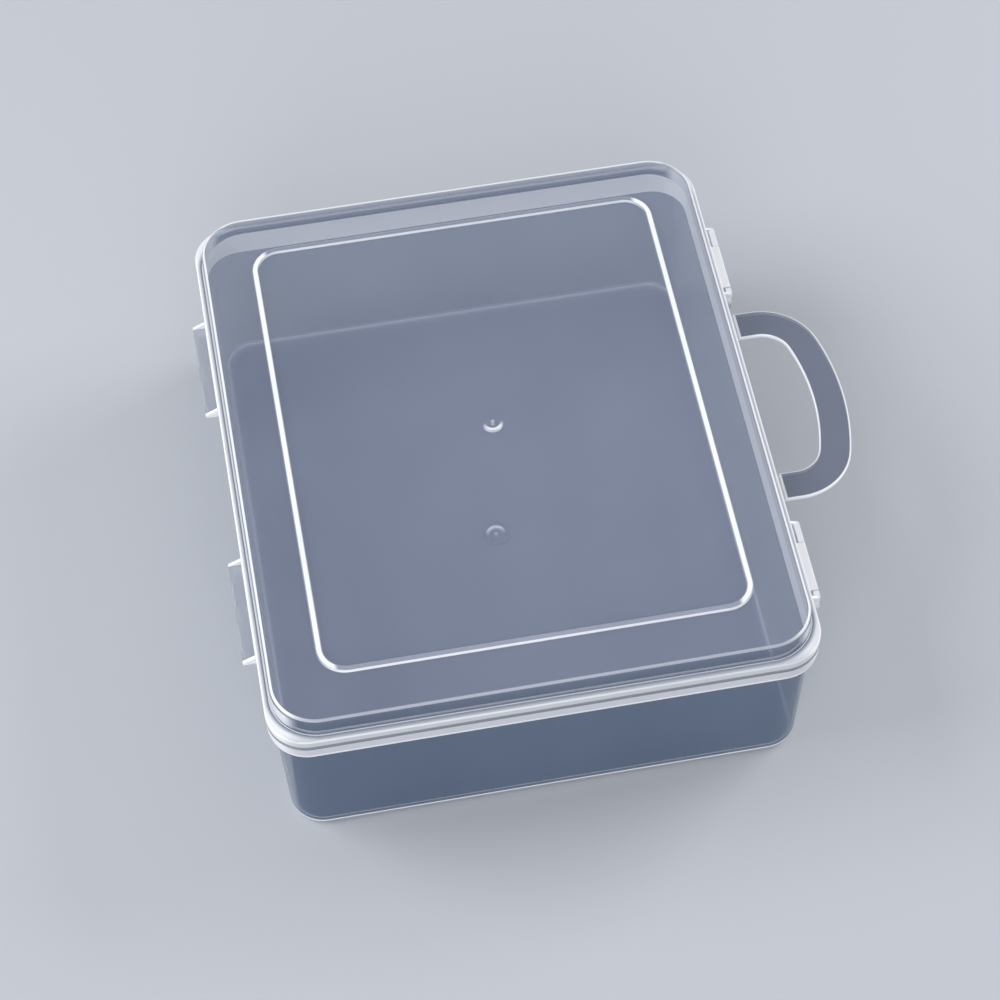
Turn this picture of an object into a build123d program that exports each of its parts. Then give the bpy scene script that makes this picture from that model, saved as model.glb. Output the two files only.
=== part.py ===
from build123d import *
from math import acos, cos, degrees, hypot, radians, sin, sqrt, tan
import os

# A storage box of moulded polypropylene: a tray with a carrying handle, a hinged lid and two latches.
# All sizes are millimetres. The box stands on z = 0 with the centre of its underside at the origin.
# The hinges are on the -X side, the latches and the handle on the +X side.

wall = 1.3                      # panels, walls and skirt
running_clearance = 0.1         # radial, between a hinge bar and the clip on it
free_clearance = 0.4            # between pieces that pass each other

# Tray: a tapered tub with a flange that the lid's skirt lands on; the wall above it locates the lid.
bottom_width = 198.4
bottom_length = 236.6
bottom_corner = 13.0
bottom_edge_radius = 3.0
wall_draft = 2.03               # degrees
tray_height = 69.9
flange_top = 62.2
flange_thickness = 1.6
flange_width = 207.2
flange_length = 245.8
flange_corner = 15.2
flange_edge_chamfer = 0.3

# Lid: a shallow pan over a wider skirt with a groove around it, and a raised stacking bead on top.
box_height = 80.0
panel_width = 202.0
panel_length = 240.0
panel_corner = 17.5
panel_edge_radius = 2.0
lid_draft = 1.5                 # degrees
shoulder_height = 71.5
shoulder_chamfer = 0.5
skirt_width = 207.8
skirt_length = 246.4
skirt_corner = 15.5
seam_gap = 0.2
groove_bottom = 66.5
groove_top = 68.3
groove_depth = 0.5
bead_width = 161.4
bead_length = 200.2
bead_corner = 10.0
bead_thickness = 2.8
bead_height = 0.9
bead_edge_chamfer = 0.6

# The mark that the moulding gate leaves in the middle of both mouldings.
gate_radius = 4.25
gate_depth = 0.5
gate_nub_radius = 1.1

# Hinges: two bars on lugs of the tray, and clips under two cover plates of the lid.
hinge_spacing = 116.0
hinge_length = 45.0
hinge_x = -106.6
hinge_z = 60.4
hinge_bar_radius = 1.1
hinge_clip_wall = 1.2
hinge_clip_length = 12.0
hinge_clip_offset = 9.9
hinge_clip_gap = 70.0           # degrees that the clip is open
hinge_gap_middle = -45.0        # degrees from +X towards +Z: down and towards the tray
lug_thickness = 1.8
lug_radius = 1.75
lug_spread = 17.4
lug_root_height = 56.5
stop_radius = 2.8               # from the hinge axis to the corner that stops the lid
lid_opening = 112.0             # degrees at which the cover plate meets that corner
cover_thickness = 1.3
cover_gusset_height = 2.7
cover_gusset_thickness = 1.2

# Latches: each snaps on the waist of a bar that two arms of the lid carry beside its skirt.
latch_spacing = 148.7
latch_bar_outer = 108.8         # from the middle of the box to the bar's outer face
latch_bar_z = 62.0
latch_bar_width = 2.3
latch_bar_height = 2.4
latch_bar_length = 35.7
latch_waist_x = 107.3
latch_waist_radius = 0.7
latch_arm_width = 1.2
latch_arm_root = 64.4
latch_loop_corner = 1.0
latch_head_length = 21.6
latch_head_offset = -3.2        # from the middle of the bar; both latches are the same moulding
latch_jaw_wall = 0.8            # over the bore
latch_jaw_reach = 2.7           # from the bore's axis towards the lid
latch_mouth = 1.1               # height of the slot that snaps over the waist
latch_edge_chamfer = 0.4
latch_flap_width = 35.4
latch_flap_top = 59.8
latch_flap_bottom = 50.2
latch_flap_thickness = 2.2
latch_flap_toe = 0.8            # thickness at the lower edge
latch_bow_top = 57.5            # below it the outer face curves in towards the toe
latch_flap_corner = 4.0
latch_finger_thickness = 1.4
latch_finger_reach = 1.0        # under the tray's flange
latch_finger_clearance = 0.3

# Handle: a flat strap bent to a D, which folds on two thin webs moulded to the tray's flange.
handle_thickness = 1.8
handle_bottom = 61.7
handle_fold_x = 105.9
handle_root_x = 106.5
handle_reach = 140.6
handle_half_length = 46.1
handle_strap = 12.4
handle_bow_radius = 105.0
handle_corner_radius = 24.0
handle_edge_chamfer = 0.35
web_thickness = 0.5
web_gap = 0.3                   # hairline at the fold, between the tray's leaf and the handle's leaf

straight_up = 90.0              # degrees from +X towards +Z
flange_half = flange_width / 2
skirt_half = skirt_width / 2
flange_bottom = flange_top - flange_thickness
skirt_bottom = flange_top + seam_gap
cover_underside = skirt_bottom - hinge_z
web_z = handle_bottom + web_thickness / 2
pan_growth = (box_height - shoulder_height) * tan(radians(lid_draft))


def tray_outside(height):
    """How far the tray's outer wall has moved outwards at a height."""
    return height * tan(radians(wall_draft))


def section(y):
    """The plane across the box at y, with x to the right and z up."""
    return Plane.XZ.offset(-y)


def polar(centre, radius, degrees):
    """A point of the section at an angle from +X towards +Z."""
    return (centre[0] + radius * cos(radians(degrees)), centre[1] + radius * sin(radians(degrees)))


def clip_ring(centre, inner, outer, gap_middle, gap):
    """Sketch a ring that is open over a gap, as a snap-on clip is."""
    with Locations(centre):
        Circle(outer)
        Circle(inner, mode=Mode.SUBTRACT)
    reach = 2 * outer
    gap_start = polar(centre, reach, gap_middle - gap / 2)
    gap_end = polar(centre, reach, gap_middle + gap / 2)
    Polygon(centre, gap_start, gap_end, align=None, mode=Mode.SUBTRACT)


def gate_mark(face_height, inward):
    """Dimple the outer face at the gate, keep the wall behind it whole, and leave the nub."""
    with Locations((0, 0, face_height + inward * (wall + gate_depth) / 2)):
        Cylinder(gate_radius + wall, wall + gate_depth)
    with Locations((0, 0, face_height + inward * gate_depth / 2)):
        Cylinder(gate_radius, gate_depth, mode=Mode.SUBTRACT)
        Cylinder(gate_nub_radius, gate_depth)


os.makedirs("parts", exist_ok=True)

hinge_axis = (hinge_x, hinge_z)
hinge_centres = (-hinge_spacing / 2, hinge_spacing / 2)
latch_axis = (latch_waist_x, latch_bar_z)
latch_centres = {"latch_near": -latch_spacing / 2, "latch_far": latch_spacing / 2}

# The tray, with its flange, the hinge bars on their lugs and the roots of the handle's webs.
with BuildPart() as base_tray:
    with BuildSketch():
        RectangleRounded(bottom_width, bottom_length, bottom_corner)
    extrude(amount=tray_height, taper=-wall_draft)
    fillet(base_tray.edges().group_by(Axis.Z)[0], bottom_edge_radius)
    with BuildSketch(Plane.XY.offset(wall)):
        floor_growth = tray_outside(wall) - wall
        RectangleRounded(
            bottom_width + 2 * floor_growth,
            bottom_length + 2 * floor_growth,
            bottom_corner + floor_growth,
        )
    extrude(amount=tray_height - wall, taper=-wall_draft, mode=Mode.SUBTRACT)
    fillet(base_tray.edges().filter_by_position(Axis.Z, wall, wall), bottom_edge_radius - wall)

    with BuildSketch(Plane.XY.offset(flange_bottom)):
        RectangleRounded(flange_width, flange_length, flange_corner)
        flange_root = tray_outside(flange_bottom) - wall / 2
        RectangleRounded(
            bottom_width + 2 * flange_root,
            bottom_length + 2 * flange_root,
            bottom_corner + flange_root,
            mode=Mode.SUBTRACT,
        )
    extrude(amount=flange_thickness)
    flange_edges = base_tray.edges().filter_by_position(Axis.Z, flange_bottom, flange_bottom)
    chamfer(flange_edges, flange_edge_chamfer)

    stop_lead = degrees(acos(cover_underside / stop_radius))
    stop_corner = polar(hinge_axis, stop_radius, straight_up + lid_opening + stop_lead)
    lug_top = hinge_z + lug_radius
    wall_middle = -(bottom_width / 2 + tray_outside(lug_root_height) - wall / 2)
    for hinge_y in hinge_centres:
        for lug_offset in (-lug_spread, 0, lug_spread):
            with BuildSketch(section(hinge_y + lug_offset)):
                with BuildLine():
                    Polyline(
                        (wall_middle, lug_root_height),
                        stop_corner,
                        (hinge_x - lug_radius, hinge_z),
                        (hinge_x, lug_top),
                        (wall_middle, lug_top),
                        close=True,
                    )
                make_face()
                with Locations(hinge_axis):
                    Circle(lug_radius)
            extrude(amount=lug_thickness / 2, both=True)
        with BuildSketch(section(hinge_y)):
            with Locations(hinge_axis):
                Circle(hinge_bar_radius)
        extrude(amount=lug_spread, both=True)

    leaf_end = handle_fold_x - web_gap / 2 - web_thickness / 2
    arm_middle = handle_half_length - handle_strap / 2
    for arm_y in (-arm_middle, arm_middle):
        with BuildSketch(section(arm_y)):
            with Locations(((flange_half - web_thickness + leaf_end) / 2, web_z)):
                Rectangle(leaf_end - flange_half + web_thickness, web_thickness)
            with Locations((leaf_end, web_z)):
                Circle(web_thickness / 2)
        extrude(amount=handle_strap / 2, both=True)

    gate_mark(0, 1)

# The lid, with the cover plates and clips of the hinges and the loops that carry the latches.
with BuildPart() as lid:
    with BuildSketch(Plane.XY.offset(skirt_bottom)):
        RectangleRounded(skirt_width, skirt_length, skirt_corner)
    extrude(amount=shoulder_height - skirt_bottom)
    with BuildSketch(Plane.XY.offset(shoulder_height)):
        RectangleRounded(
            panel_width + 2 * pan_growth,
            panel_length + 2 * pan_growth,
            panel_corner + pan_growth,
        )
    extrude(amount=box_height - shoulder_height, taper=lid_draft)
    fillet(lid.edges().group_by(Axis.Z)[-1], panel_edge_radius)
    chamfer(lid.edges().filter_by_position(Axis.Z, shoulder_height, shoulder_height), shoulder_chamfer)

    with BuildSketch(Plane.XY.offset(skirt_bottom)):
        RectangleRounded(skirt_width - 2 * wall, skirt_length - 2 * wall, skirt_corner - wall)
    extrude(amount=shoulder_height - wall - skirt_bottom, mode=Mode.SUBTRACT)
    with BuildSketch(Plane.XY.offset(shoulder_height - wall)):
        RectangleRounded(
            panel_width + 2 * pan_growth - 2 * wall,
            panel_length + 2 * pan_growth - 2 * wall,
            panel_corner + pan_growth - wall,
        )
    extrude(amount=box_height - shoulder_height, taper=lid_draft, mode=Mode.SUBTRACT)

    with BuildSketch(Plane.XY.offset(groove_bottom)):
        RectangleRounded(skirt_width, skirt_length, skirt_corner)
        RectangleRounded(
            skirt_width - 2 * groove_depth,
            skirt_length - 2 * groove_depth,
            skirt_corner - groove_depth,
            mode=Mode.SUBTRACT,
        )
    extrude(amount=groove_top - groove_bottom, mode=Mode.SUBTRACT)

    with BuildSketch(Plane.XY.offset(box_height)):
        RectangleRounded(
            bead_width + bead_thickness,
            bead_length + bead_thickness,
            bead_corner + bead_thickness / 2,
        )
        RectangleRounded(
            bead_width - bead_thickness,
            bead_length - bead_thickness,
            bead_corner - bead_thickness / 2,
            mode=Mode.SUBTRACT,
        )
    extrude(amount=bead_height)
    chamfer(lid.edges().group_by(Axis.Z)[-1], bead_edge_chamfer)

    clip_inner = hinge_bar_radius + running_clearance
    clip_outer = clip_inner + hinge_clip_wall
    cover_top = skirt_bottom + cover_thickness
    cover_edge = hinge_x - clip_outer
    skirt_root = -(skirt_half - wall / 2)
    for hinge_y in hinge_centres:
        with BuildSketch(section(hinge_y)):
            with BuildLine():
                Polyline(
                    (skirt_root, skirt_bottom),
                    (cover_edge, skirt_bottom),
                    (cover_edge, cover_top),
                    (skirt_root, cover_top),
                    close=True,
                )
            make_face()
        extrude(amount=hinge_length / 2, both=True)
        gusset_offset = (hinge_length - cover_gusset_thickness) / 2
        for gusset_y in (hinge_y - gusset_offset, hinge_y + gusset_offset):
            with BuildSketch(section(gusset_y)):
                with BuildLine():
                    Polyline(
                        (cover_edge, cover_top),
                        (skirt_root, cover_top),
                        (skirt_root, cover_top + cover_gusset_height),
                        (-skirt_half, cover_top + cover_gusset_height),
                        close=True,
                    )
                make_face()
            extrude(amount=cover_gusset_thickness / 2, both=True)
        for clip_y in (hinge_y - hinge_clip_offset, hinge_y + hinge_clip_offset):
            with BuildSketch(section(clip_y)):
                clip_ring(hinge_axis, clip_inner, clip_outer, hinge_gap_middle, hinge_clip_gap)
            extrude(amount=hinge_clip_length / 2, both=True)

    bar_inner = latch_bar_outer - latch_bar_width
    bar_middle = latch_bar_outer - latch_bar_width / 2
    bar_bottom = latch_bar_z - latch_bar_height / 2
    bar_top = latch_bar_z + latch_bar_height / 2
    arm_offset = (latch_bar_length - latch_arm_width) / 2
    waist_length = latch_head_length + 2 * free_clearance
    for latch_y in latch_centres.values():
        for arm_y in (latch_y - arm_offset, latch_y + arm_offset):
            with BuildSketch(section(arm_y)):
                with BuildLine():
                    Polyline(
                        (-skirt_root, skirt_bottom),
                        (-skirt_root, latch_arm_root),
                        (skirt_half, latch_arm_root),
                        (bar_middle, bar_top),
                        (bar_middle, bar_bottom),
                        (bar_inner, bar_bottom),
                        (bar_inner - latch_arm_width, skirt_bottom),
                        close=True,
                    )
                make_face()
            extrude(amount=latch_arm_width / 2, both=True)
        with BuildSketch(Plane.XY.offset(bar_bottom)) as bar_plan:
            with Locations((bar_middle, latch_y)):
                Rectangle(latch_bar_width, latch_bar_length)
            with Locations((bar_middle, latch_y + latch_head_offset)):
                Rectangle(latch_bar_width, waist_length, mode=Mode.SUBTRACT)
            outer_corners = bar_plan.vertices().group_by(Axis.X)[-1].sort_by(Axis.Y)
            fillet([outer_corners[0], outer_corners[-1]], latch_loop_corner)
        extrude(amount=latch_bar_height)
        with BuildSketch(section(latch_y + latch_head_offset)):
            with Locations(latch_axis):
                Circle(latch_waist_radius)
        extrude(amount=waist_length / 2 + free_clearance, both=True)

    gate_mark(box_height, -1)

# The latches: a head that snaps on the bar, a finger that hooks under the tray's flange, and a flap.
bore = latch_waist_radius + running_clearance
head_top = latch_bar_z + bore + latch_jaw_wall
jaw_tip = latch_waist_x - latch_jaw_reach
mouth_top = latch_bar_z + latch_mouth / 2
mouth_bottom = latch_bar_z - latch_mouth / 2
finger_top = flange_bottom - latch_finger_clearance
finger_bottom = finger_top - latch_finger_thickness
finger_tip = flange_half - latch_finger_reach
finger_step = flange_half + free_clearance
flap_inner = latch_bar_outer - latch_flap_thickness
flap_toe = flap_inner + latch_flap_toe
for name, latch_y in latch_centres.items():
    head_y = latch_y + latch_head_offset
    with BuildPart() as latch:
        with BuildSketch(section(head_y)):
            with BuildLine():
                Polyline(
                    (finger_tip, finger_bottom + latch_edge_chamfer),
                    (finger_tip + latch_edge_chamfer, finger_bottom),
                    (latch_bar_outer, finger_bottom),
                    (latch_bar_outer, head_top - latch_edge_chamfer),
                    (latch_bar_outer - latch_edge_chamfer, head_top),
                    (jaw_tip + latch_edge_chamfer, head_top),
                    (jaw_tip, head_top - latch_edge_chamfer),
                    (jaw_tip, mouth_top),
                    (latch_waist_x, mouth_top),
                    (latch_waist_x, mouth_bottom),
                    (finger_step, mouth_bottom),
                    (finger_step, finger_top),
                    (finger_tip, finger_top),
                    close=True,
                )
            make_face()
            with Locations(latch_axis):
                Circle(bore, mode=Mode.SUBTRACT)
        extrude(amount=latch_head_length / 2, both=True)
        with BuildSketch(section(latch_y)):
            with BuildLine():
                Polyline(
                    (flap_toe, latch_flap_bottom),
                    (flap_inner, latch_flap_bottom),
                    (flap_inner, latch_flap_top),
                    (latch_bar_outer, latch_flap_top),
                    (latch_bar_outer, latch_bow_top),
                )
                TangentArc((latch_bar_outer, latch_bow_top), (flap_toe, latch_flap_bottom), tangent=(0, -1))
            make_face()
        extrude(amount=latch_flap_width / 2, both=True)
        with BuildSketch(Plane.YZ.offset(finger_tip)):
            flap_height = latch_flap_top - latch_flap_bottom
            with Locations((latch_y, latch_flap_bottom + flap_height / 2)):
                RectangleRounded(latch_flap_width, flap_height, latch_flap_corner)
            neck_height = head_top - latch_flap_top + latch_flap_corner
            with Locations((head_y, head_top - neck_height / 2)):
                Rectangle(latch_head_length, neck_height)
        extrude(amount=latch_bar_outer - finger_tip, mode=Mode.INTERSECT)
    latch.part.label = name
    export_step(latch.part, f"parts/{name}.step")

# The handle: the outline is half a D, mirrored; its inset is the finger gap.
with BuildPart() as carry_handle:
    bow_x = handle_reach - handle_bow_radius
    corner_y = handle_half_length - handle_corner_radius
    corner_x = bow_x + sqrt((handle_bow_radius - handle_corner_radius) ** 2 - corner_y**2)
    stretch = handle_bow_radius / hypot(corner_x - bow_x, corner_y)
    tangent = (bow_x + stretch * (corner_x - bow_x), stretch * corner_y)
    back_x = handle_root_x - handle_strap
    with BuildSketch(Plane.XY.offset(handle_bottom)):
        with BuildLine():
            Polyline((handle_reach, 0), (back_x, 0), (back_x, handle_half_length), (corner_x, handle_half_length))
            RadiusArc((corner_x, handle_half_length), tangent, handle_corner_radius)
            RadiusArc(tangent, (handle_reach, 0), handle_bow_radius)
        make_face()
        mirror(about=Plane.XZ)
        offset(amount=-handle_strap, kind=Kind.INTERSECTION, mode=Mode.SUBTRACT)
        with Locations((back_x, 0)):
            Rectangle(2 * handle_strap, 2 * handle_half_length, mode=Mode.SUBTRACT)
    extrude(amount=handle_thickness)
    chamfer(carry_handle.faces().filter_by(Axis.Z).edges(), handle_edge_chamfer)

    handle_leaf_end = handle_fold_x + web_gap / 2 + web_thickness / 2
    leaf_root = handle_root_x + web_thickness
    for arm_y in (-arm_middle, arm_middle):
        with BuildSketch(section(arm_y)):
            with Locations(((handle_leaf_end + leaf_root) / 2, web_z)):
                Rectangle(leaf_root - handle_leaf_end, web_thickness)
            with Locations((handle_leaf_end, web_z)):
                Circle(web_thickness / 2)
        extrude(amount=handle_strap / 2 - handle_edge_chamfer, both=True)

for name, piece in (("base_tray", base_tray), ("lid", lid), ("carry_handle", carry_handle)):
    piece.part.label = name
    export_step(piece.part, f"parts/{name}.step")
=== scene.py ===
from math import cos, radians, sin

import bpy
import numpy as np
from mathutils import Matrix, Vector

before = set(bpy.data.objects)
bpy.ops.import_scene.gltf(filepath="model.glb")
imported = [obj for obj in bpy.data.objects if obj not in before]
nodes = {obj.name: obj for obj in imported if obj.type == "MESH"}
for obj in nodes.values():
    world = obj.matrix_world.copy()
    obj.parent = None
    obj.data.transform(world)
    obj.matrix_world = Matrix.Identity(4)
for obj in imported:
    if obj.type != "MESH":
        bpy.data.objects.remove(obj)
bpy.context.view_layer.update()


# The view: a box seen from above its near long corner, with the hinges on the left and the
# handle on the right. The lens is long, so the upright walls stay almost parallel.
camera_place = Vector((-0.0962, -0.62932, 0.95474))
camera_azimuth = radians(-8.87)
camera_elevation = radians(55.57)
camera_roll = radians(-1.63)
camera_lens = 100.74
camera_sensor = 36.0
camera_clip_start = 0.05

towards_camera = Vector((
    sin(camera_azimuth) * cos(camera_elevation),
    -cos(camera_azimuth) * cos(camera_elevation),
    sin(camera_elevation),
))
level_right = (-towards_camera).cross(Vector((0, 0, 1))).normalized()
level_up = level_right.cross(-towards_camera)
rolled_right = level_right * cos(camera_roll) + level_up * sin(camera_roll)
rolled_up = level_up * cos(camera_roll) - level_right * sin(camera_roll)
camera = bpy.data.objects.new("camera", bpy.data.cameras.new("camera"))
camera.data.lens = camera_lens
camera.data.sensor_width = camera_sensor
camera.data.clip_start = camera_clip_start
turn = Matrix((rolled_right, rolled_up, towards_camera)).transposed()
camera.matrix_world = Matrix.Translation(camera_place) @ turn.to_4x4()
bpy.context.collection.objects.link(camera)
bpy.context.scene.camera = camera
bpy.context.scene.view_settings.view_transform = "Standard"


# The studio: a pale grey matt floor just under the box, an even pale surround, a large soft lamp
# on each side to draw bright lines along the left and right edges, and one in front.
floor_half = 3.0
floor_height = -0.0003          # clear of the tray's underside
floor_colour = "#B1B5BC"
floor_roughness = 0.85
surround_colour = "#F2F4F7"
surround_strength = 0.52
lamps = {                       # place, width and power
    "left_lamp": ((-1.3, 0.25, 1.1), 1.2, 20.0),
    "right_lamp": ((1.3, 0.4, 0.8), 0.9, 13.0),
    "front_lamp": ((-0.3, -1.6, 1.0), 1.2, 15.0),
}


def linear(hex_colour):
    """An sRGB hex colour as linear red, green, blue and alpha."""
    part = np.array([int(hex_colour[i:i + 2], 16) for i in (1, 3, 5)]) / 255
    return (*np.where(part <= 0.04045, part / 12.92, ((part + 0.055) / 1.055) ** 2.4), 1.0)


def add(tree, kind, links=(), **settings):
    """Add a node: settings name its properties or inputs, links pairs of input and output."""
    node = tree.nodes.new(kind)
    for name, value in settings.items():
        if hasattr(node, name):
            setattr(node, name, value)
        else:
            node.inputs[name.replace("_", " ")].default_value = value
    for name, output in links:
        tree.links.new(output, node.inputs[name])
    return node


floor_mesh = bpy.data.meshes.new("floor")
floor_corners = [(x * floor_half, y * floor_half, floor_height)
                 for x, y in ((-1, -1), (1, -1), (1, 1), (-1, 1))]
floor_mesh.from_pydata(floor_corners, [], [(0, 1, 2, 3)])
floor = bpy.data.objects.new("floor", floor_mesh)
bpy.context.collection.objects.link(floor)
paint = bpy.data.materials.new("matt_floor_paint")
paint.use_nodes = True
paint_shader = paint.node_tree.nodes["Principled BSDF"]
paint_shader.inputs["Base Color"].default_value = linear(floor_colour)
paint_shader.inputs["Roughness"].default_value = floor_roughness
floor.data.materials.append(paint)

world = bpy.data.worlds.new("studio")
world.use_nodes = True
world.node_tree.nodes["Background"].inputs["Color"].default_value = linear(surround_colour)
world.node_tree.nodes["Background"].inputs["Strength"].default_value = surround_strength
bpy.context.scene.world = world

for name, (place, width, power) in lamps.items():
    lamp = bpy.data.lights.new(name, "AREA")
    lamp.size = width
    lamp.energy = power
    holder = bpy.data.objects.new(name, lamp)
    holder.location = place
    holder.rotation_euler = (-Vector(place)).to_track_quat("-Z", "Y").to_euler()
    bpy.context.collection.objects.link(holder)


# The tray: injection-moulded natural polypropylene, about 1.3 mm thick and a little milky. Thin
# walls look grey-blue and let light through; edges and thick sections scatter more and look white.
# Some white is painted light: highlights along edges, round the foot and on the bead, and lighter
# side walls.
mm = 0.001
soft_end = 0.35 * mm            # over which a white line fades at its sides
no_end = 1.0                    # metres, past any point of the box
polypropylene_index = 1.49
polypropylene_specular = 0.7
polypropylene_roughness = (0.22, 0.27)  # below 0.274, where denoising draws a faint outline
thick_opacity = 0.92
flow_scale = 1 / (30 * mm)      # streaks of the melt, drawn out along the walls' height
flow_stretch = 0.12
flow_milk = (0.02, 0.07)
grain_scale = 1 / (0.9 * mm)    # the mould's fine grain
grain_strength = 0.015
grain_depth = 0.02 * mm
warp_scale = 1 / (60 * mm)      # the slow sinking of a wide wall as it cools
warp_strength = 0.35
warp_depth = 0.8 * mm

tray_wall = ("#38587A", 0.42)   # colour, and how much of the light one wall stops
tray_floor = ("#929CB5", 0.45)
tray_thick = "#F8F9FC"
floor_range = (-1.0 * mm, 1.6 * mm)
flange_range = (60.2 * mm, 62.6 * mm)
top_edge = (69.5 * mm, 70.9 * mm)
double_wall = (62.2 * mm, 69.6 * mm)
double_milk = 0.95
# Painted light: the left and right walls a little whiter, as lit from the sides.
side_wall = (98.0 * mm, no_end, 2.0 * mm)
side_wall_painted_light = 0.2
# Painted highlight: a bright line round the foot, for the light the wall carries down to its bend;
# faint on the inside.
foot_line = (1.0 * mm, 3.1 * mm)
foot_upright = (-1.0, 0.95, 0.03)
foot_outside = 20.0 * mm        # from here the foot's line is at its full white
foot_inside_highlight = 0.08
# Painted highlight: a crescent on one half of the gate's ring.
gate_ring = (2.9 * mm, 3.9 * mm)
gate_ring_highlight = 0.8
gate_ring_fade = (1.0 * mm, 3.0 * mm)
gate_nub = (-1.0 * mm, 0.7 * mm)
gate_nub_milk = 0.4
tray_gate_range = (-1.0 * mm, 3.0 * mm)


def join(tree, operation, *values):
    """Chain a two-input math operation over several values, linked outputs or plain numbers."""
    total = values[0]
    for value in values[1:]:
        node = add(tree, "ShaderNodeMath", [(0, total)], operation=operation)
        if isinstance(value, float):
            node.inputs[1].default_value = value
        else:
            tree.links.new(value, node.inputs[1])
        total = node.outputs[0]
    return total


def by_axis(tree, vector):
    """A place or a direction by axis: "X" with its sign and "|X|" without it."""
    signed = add(tree, "ShaderNodeSeparateXYZ", [("Vector", vector)])
    bare = add(tree, "ShaderNodeVectorMath", [("Vector", vector)], operation="ABSOLUTE")
    unsigned = add(tree, "ShaderNodeSeparateXYZ", [("Vector", bare.outputs["Vector"])])
    part = {axis: signed.outputs[axis] for axis in "XYZ"}
    part.update({f"|{axis}|": unsigned.outputs[axis] for axis in "XYZ"})
    return part


def band(tree, value, low, high, blur=soft_end):
    """1 where value lies between low and high, 0 outside, with soft ends blur wide."""
    rise = add(tree, "ShaderNodeMapRange", [("Value", value)], interpolation_type="SMOOTHSTEP",
               From_Min=low - blur, From_Max=low, To_Min=0.0, To_Max=1.0)
    fall = add(tree, "ShaderNodeMapRange", [("Value", value)], interpolation_type="SMOOTHSTEP",
               From_Min=high, From_Max=high + blur, To_Min=1.0, To_Max=0.0)
    return join(tree, "MULTIPLY", rise.outputs[0], fall.outputs[0])


def reach(tree, x, y):
    """The length of a level offset: the square root of x squared plus y squared."""
    offset = add(tree, "ShaderNodeCombineXYZ", [("X", x), ("Y", y)]).outputs[0]
    measure = add(tree, "ShaderNodeVectorMath", [("Vector", offset)], operation="LENGTH")
    return measure.outputs["Value"]


def gate(tree, at, side):
    """The moulding gate's mark: a milky nub, with a painted highlight on half its ring, at -Y for
    side -1 or +Y for 1.
    """
    away = reach(tree, at["X"], at["Y"])
    half = add(tree, "ShaderNodeMapRange", [("Value", at["Y"])], interpolation_type="SMOOTHSTEP",
               From_Min=-side * gate_ring_fade[0], From_Max=side * gate_ring_fade[1],
               To_Min=0.0, To_Max=gate_ring_highlight)
    ring = join(tree, "MULTIPLY", band(tree, away, *gate_ring), half.outputs[0])
    nub = join(tree, "MULTIPLY", band(tree, away, *gate_nub), gate_nub_milk)
    return join(tree, "MAXIMUM", ring, nub)


def natural_polypropylene(name, wall, thick, whiteness, panel=None, panel_range=None):
    """Moulded translucent polypropylene: whiteness(tree, at, normal) gives 0 thin to 1 thick, and
    also carries painted highlights and shade.

    wall is the colour and opacity of a thin wall, thick the colour of a thick section, and panel
    the colour and opacity between the heights of panel_range. at and normal hold the parts of
    the surface's place and direction by axis.
    """
    material = bpy.data.materials.new(name)
    material.use_nodes = True
    tree = material.node_tree
    shader = tree.nodes["Principled BSDF"]
    surface = add(tree, "ShaderNodeTexCoord").outputs
    at = by_axis(tree, surface["Object"])
    normal = by_axis(tree, surface["Normal"])

    drawn = add(tree, "ShaderNodeMapping", [("Vector", surface["Object"])],
                Scale=(1, 1, flow_stretch))
    flow = add(tree, "ShaderNodeTexNoise", [("Vector", drawn.outputs[0])],
               Scale=flow_scale, Detail=1.0).outputs["Fac"]
    shade = add(tree, "ShaderNodeMapRange", [("Value", flow)],
                To_Min=flow_milk[0], To_Max=flow_milk[1]).outputs[0]
    # milky holds the plastic's own milkiness together with the painted highlights and shade of the
    # masks.
    milky = add(tree, "ShaderNodeMath", [(0, whiteness(tree, at, normal)), (1, shade)],
                operation="ADD", use_clamp=True).outputs[0]

    wall_colour, wall_opacity = wall
    colour = add(tree, "ShaderNodeMix", [("Factor", milky)], data_type="RGBA",
                 A=linear(wall_colour), B=linear(thick))
    opacity = add(tree, "ShaderNodeMapRange", [("Value", milky)],
                  To_Min=wall_opacity, To_Max=thick_opacity)
    if panel:
        panel_colour, panel_opacity = panel
        flat = band(tree, at["Z"], *panel_range, mm)
        thin = add(tree, "ShaderNodeMix", [("Factor", flat)], data_type="RGBA",
                   A=linear(wall_colour), B=linear(panel_colour))
        tree.links.new(thin.outputs["Result"], colour.inputs["A"])
        clear = add(tree, "ShaderNodeMapRange", [("Value", flat)],
                    To_Min=wall_opacity, To_Max=panel_opacity)
        tree.links.new(clear.outputs[0], opacity.inputs["To Min"])
    tree.links.new(colour.outputs["Result"], shader.inputs["Base Color"])
    tree.links.new(opacity.outputs[0], shader.inputs["Alpha"])

    rough_least, rough_most = polypropylene_roughness
    roughness = add(tree, "ShaderNodeMapRange", [("Value", flow)],
                    To_Min=rough_least, To_Max=rough_most)
    tree.links.new(roughness.outputs[0], shader.inputs["Roughness"])
    warp = add(tree, "ShaderNodeTexNoise", [("Vector", surface["Object"])],
               Scale=warp_scale, Detail=1.0)
    sunk = add(tree, "ShaderNodeBump", [("Height", warp.outputs["Fac"])],
               Strength=warp_strength, Distance=warp_depth)
    grain = add(tree, "ShaderNodeTexNoise", [("Vector", surface["Object"])],
                Scale=grain_scale, Detail=2.0)
    bump = add(tree, "ShaderNodeBump",
               [("Height", grain.outputs["Fac"]), ("Normal", sunk.outputs[0])],
               Strength=grain_strength, Distance=grain_depth)
    tree.links.new(bump.outputs[0], shader.inputs["Normal"])
    shader.inputs["IOR"].default_value = polypropylene_index
    shader.inputs["Specular IOR Level"].default_value = polypropylene_specular
    return material


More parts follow.
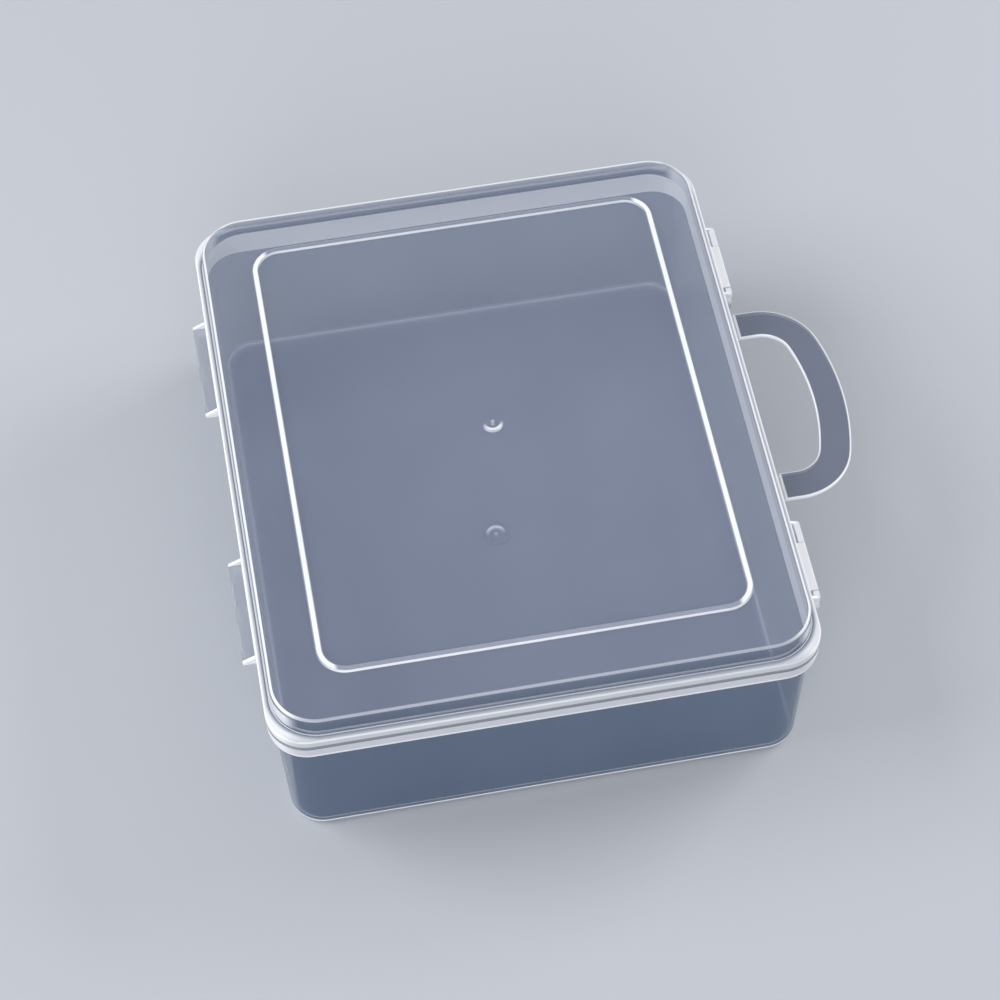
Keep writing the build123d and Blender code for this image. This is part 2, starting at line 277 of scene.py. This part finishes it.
def tray_whiteness(tree, at, normal):
    """White on the flange, the wall's top edge, where lid and wall double and at the gate's nub;
    painted light on the side walls, round the foot and on half the gate's ring.

    The foot's line is whitest on outer faces, where the level parts of place and normal agree:
    the sum of their products by axis is above 0.
    """
    flange = band(tree, at["Z"], *flange_range)
    top = band(tree, at["Z"], *top_edge)
    double = join(tree, "MULTIPLY", band(tree, at["Z"], *double_wall), double_milk)
    # Painted light on the left and right walls.
    sides = join(tree, "MULTIPLY", band(tree, at["|X|"], *side_wall), side_wall_painted_light)
    # Painted highlight round the foot, brightest on outer faces.
    outward = join(tree, "ADD", join(tree, "MULTIPLY", at["X"], normal["X"]),
                   join(tree, "MULTIPLY", at["Y"], normal["Y"]))
    outside = add(tree, "ShaderNodeMapRange", [("Value", outward)],
                  From_Max=foot_outside, To_Min=foot_inside_highlight)
    foot = join(tree, "MULTIPLY", band(tree, at["Z"], *foot_line), outside.outputs[0],
                band(tree, normal["|Z|"], *foot_upright))
    mark = join(tree, "MULTIPLY", gate(tree, at, 1), band(tree, at["Z"], *tray_gate_range))
    return join(tree, "MAXIMUM", flange, top, double, sides, foot, mark)


# Natural polypropylene, milky where the tray is thick, with painted light on its side walls,
# round its foot and on half the gate's ring.
tray_plastic = natural_polypropylene(
    "tray_polypropylene", tray_wall, tray_thick, tray_whiteness, tray_floor, floor_range)
nodes["base_tray"].material_slots[0].material = tray_plastic


# The lid: one moulding of the same plastic. Its rim, shoulder and stacking bead are the thickest
# parts and look white; the flat panel is thin and clear enough to show the tray through it. Much of
# the white on the bead, the pan's sides and the panel's edge is painted highlight, and the skirt
# has painted shade in its groove and along its near side.
lid_wall = ("#48607F", 0.34)
lid_panel = ("#8894B0", 0.1)
lid_thick = "#F6F7FB"
panel_range = (78.2 * mm, 82.0 * mm)
lying = (0.95, 2.0, 0.03)       # of the normal's upright part
skirt_range = (59.0 * mm, 71.5 * mm)
# Painted shade: the skirt's near side drawn less white than its other sides.
skirt_near = -123.2 * mm
skirt_near_shade = 0.72
# Painted shade: the groove round the skirt drawn clearer and darker, as shaded.
groove = (66.5 * mm, 68.3 * mm)
groove_shade = 0.6
cover_range = (-110.0 * mm, -104.3 * mm)
cover_clear = 0.65
ledge_range = (69.8 * mm, 71.5 * mm)
ledge_clear = (1.0, 0.1)        # at the pan's foot and beyond ledge_fade
ledge_fade = 2.6 * mm
pan_foot = (101.2 * mm, 120.2 * mm, 17.5 * mm)  # half width, half length and corner radius
pan_wall = (71.5 * mm, 78.0 * mm)
# Painted highlight: the pan's left and right walls drawn white, as lit by the side lamps.
pan_sideways = (0.8, 2.0, 0.3)
pan_side_highlight = 0.85
# Painted highlight along the panel's rounded edge: strongest at the sides, fainter along the near
# side.
panel_edge = (78.0 * mm, 80.0 * mm, 0.03 * mm)
panel_edge_slope = (0.6, 0.9, 0.08)
panel_edge_highlight = 0.85
panel_near = -120.0 * mm
panel_near_highlight = 0.5
near_fade = 6.0 * mm
panel_far = (117.0 * mm, no_end, 2.0 * mm)
panel_far_slope = (0.3, 0.985, 0.01)
# The bead is a little milky; the rest of its white is painted highlight: bright along its long
# sides and on slopes facing the near side, paler towards the far end.
bead_range = (80.05 * mm, 82.0 * mm, 0.05 * mm)
bead_line = (80.7 * mm, 100.1 * mm, 10.0 * mm)  # half width, half length and corner radius
bead_core = (-0.75 * mm, 0.75 * mm, 0.5 * mm)
bead_side_highlight = 0.9
bead_long_side = (76.7 * mm, no_end, 3.0 * mm)
bead_end_milk_and_highlight = (0.3, 0.18)     # near and far
bead_near_slope = (-0.2, -0.6)
bead_near_highlight = 0.5
lid_gate_range = (77.0 * mm, 81.0 * mm)


def beyond(tree, at, half_width, half_length, corner):
    """How far a point lies outside a rectangle with rounded corners: the length of its offset
    from the corners' centres, less the corner's radius."""
    offset = []
    for axis, half in (("|X|", half_width), ("|Y|", half_length)):
        inset = join(tree, "SUBTRACT", at[axis], half - corner)
        offset.append(join(tree, "MAXIMUM", inset, 0.0))
    return join(tree, "SUBTRACT", reach(tree, *offset), corner)


def except_near(tree, at, edge, least):
    """1, falling to least along the near side, where y comes within near_fade of the edge."""
    return add(tree, "ShaderNodeMapRange", [("Value", at["Y"])], interpolation_type="SMOOTHSTEP",
               From_Min=edge, From_Max=edge + near_fade, To_Min=least).outputs[0]


def bead_milk_and_highlights(tree, at, normal):
    """How white the bead is: a little milky all along, and as painted highlights a bright core
    along its long sides, a brighter near end and bright near slopes.
    """
    core = band(tree, beyond(tree, at, *bead_line), *bead_core)
    long_side = band(tree, at["|X|"], *bead_long_side)
    near_end, far_end = bead_end_milk_and_highlight
    ends = add(tree, "ShaderNodeMapRange", [("Value", at["Y"])], From_Min=-bead_line[1],
               From_Max=bead_line[1], To_Min=near_end, To_Max=far_end)
    slope_start, slope_end = bead_near_slope
    near_slope = add(tree, "ShaderNodeMapRange", [("Value", normal["Y"])], From_Min=slope_start,
                     From_Max=slope_end, To_Max=bead_near_highlight)
    return join(tree, "MAXIMUM", join(tree, "MULTIPLY", core, bead_side_highlight, long_side),
                join(tree, "ADD", ends.outputs[0], near_slope.outputs[0]))


def lid_whiteness(tree, at, normal):
    """Milky on the skirt, with painted shade in its groove and along its near side, and painted
    highlights, strongest at the sides, on the pan's walls, the bead and along the panel's edge.
    """
    flat = band(tree, normal["|Z|"], *lying)
    # Painted shade in the groove.
    shaded_groove = join(tree, "MULTIPLY", band(tree, at["Z"], *groove), groove_shade)
    cover = join(tree, "MULTIPLY", band(tree, at["X"], *cover_range), flat, cover_clear)
    at_foot, past_foot = ledge_clear
    inner = add(tree, "ShaderNodeMapRange", [("Value", beyond(tree, at, *pan_foot))],
                interpolation_type="SMOOTHSTEP", From_Max=ledge_fade, To_Min=at_foot,
                To_Max=past_foot)
    ledge = join(tree, "MULTIPLY", band(tree, at["Z"], *ledge_range), flat, inner.outputs[0])
    ledge = join(tree, "MAXIMUM", join(tree, "SUBTRACT", ledge, cover), 0.0)
    skirt = join(tree, "SUBTRACT", band(tree, at["Z"], *skirt_range), shaded_groove, cover, ledge)
    # Painted shade along the skirt's near side.
    skirt = join(tree, "MULTIPLY", skirt, except_near(tree, at, skirt_near, skirt_near_shade))

    # Painted highlight on the pan's left and right walls.
    pan_sides = join(tree, "MULTIPLY", band(tree, at["Z"], *pan_wall),
                     band(tree, normal["|X|"], *pan_sideways), pan_side_highlight)
    # Painted highlight along the panel's edge.
    edge = join(tree, "MULTIPLY", band(tree, normal["|Z|"], *panel_edge_slope),
                except_near(tree, at, panel_near, panel_near_highlight))
    far_edge = join(tree, "MULTIPLY", band(tree, normal["|Z|"], *panel_far_slope),
                    band(tree, at["Y"], *panel_far))
    edge = join(tree, "MULTIPLY", join(tree, "MAXIMUM", edge, far_edge), panel_edge_highlight,
                band(tree, at["Z"], *panel_edge))
    # The bead's own milk and its painted highlights.
    bead = join(tree, "MULTIPLY", band(tree, at["Z"], *bead_range), bead_milk_and_highlights(tree, at, normal))
    mark = join(tree, "MULTIPLY", gate(tree, at, -1), band(tree, at["Z"], *lid_gate_range))
    return join(tree, "MAXIMUM", skirt, pan_sides, edge, bead, mark)


# Natural polypropylene, milky at the lid's rim and bead, with painted highlights along its edge,
# its pan's sides and its bead.
lid_plastic = natural_polypropylene(
    "lid_polypropylene", lid_wall, lid_thick, lid_whiteness, lid_panel, panel_range)
nodes["lid"].material_slots[0].material = lid_plastic


# The latches: two small clip-on flaps, moulded apart and snapped on the lid's bars. They are
# thick for their size, so they look white all over.
latch_body = ("#E4E7EE", 0.8)
latch_thick = "#F6F7FA"
latch_head = (58.5 * mm, 65.0 * mm, 1.0 * mm)
latch_slope = (0.2, 0.95, 0.15)


def latch_whiteness(tree, at, normal):
    """White at the edges and the head, and a little clearer in the middle of the flap."""
    return join(tree, "MAXIMUM", band(tree, at["Z"], *latch_head),
                band(tree, normal["|Z|"], *latch_slope))


# Natural polypropylene, almost opaque in so thick a piece.
latch_plastic = natural_polypropylene(
    "latch_polypropylene", latch_body, latch_thick, latch_whiteness)
nodes["latch_far"].material_slots[0].material = latch_plastic
nodes["latch_near"].material_slots[0].material = latch_plastic


# The carrying handle: a flat strap moulded with the tray and folded on two thin webs. Its faces are
# clear and grey-blue and its edges milky; the bright lines beside its cut-out and outline are a
# painted glow, the lit edge seen through the strap.
handle_body = ("#545F76", 0.64)
handle_thick = "#F8F9FC"
handle_corner = (137.5 * mm, 46.1 * mm, 24.0 * mm)  # half width, half length and corner radius
handle_bow = (35.6 * mm, 105.0 * mm)                # centre along x, and radius
handle_corner_slope = 22.1 / 77.9                   # of the line from the bow's centre
handle_strap = 12.4 * mm
handle_upright = (-1.0, 0.93, 0.05)
# Painted glow: fine bright lines on the strap's faces beside its outline and cut-out, for the lit
# edge seen through the strap.
handle_line = 0.5 * mm
handle_line_blur = 0.2 * mm
handle_line_brightness = 0.7
handle_root = (106.4 * mm, 107.2 * mm, handle_line_blur)


def past_outline(tree, at):
    """How far a point lies outside the handle's outline: outside the rounded rectangle of its
    corners where its direction from the bow's centre is steeper than the corner's, else outside
    the bow."""
    forward = join(tree, "SUBTRACT", at["X"], handle_bow[0])
    corner = beyond(tree, at, *handle_corner)
    bow = join(tree, "SUBTRACT", reach(tree, forward, at["|Y|"]), handle_bow[1])
    slope = join(tree, "DIVIDE", at["|Y|"], forward)
    steeper = join(tree, "GREATER_THAN", slope, handle_corner_slope)
    cut = join(tree, "MULTIPLY", join(tree, "SUBTRACT", corner, bow), steeper)
    return join(tree, "ADD", bow, cut)


def handle_whiteness(tree, at, normal):
    """White on the upright edges and their chamfers, and in fine lines beside them and across the
    root; beside the edges the white is a painted glow.
    """
    upright = band(tree, normal["|Z|"], *handle_upright)
    outside = past_outline(tree, at)
    outer = band(tree, outside, -handle_line, mm, handle_line_blur)
    inner = band(tree, outside, -handle_strap - mm, handle_line - handle_strap, handle_line_blur)
    root = band(tree, at["X"], *handle_root)
    line = join(tree, "MULTIPLY", join(tree, "MAXIMUM", outer, inner, root), handle_line_brightness)
    return join(tree, "MAXIMUM", upright, line)


# Natural polypropylene, clear on the strap's faces and milky at its edges, with a painted glow
# beside them.
handle_plastic = natural_polypropylene(
    "handle_polypropylene", handle_body, handle_thick, handle_whiteness)
nodes["carry_handle"].material_slots[0].material = handle_plastic
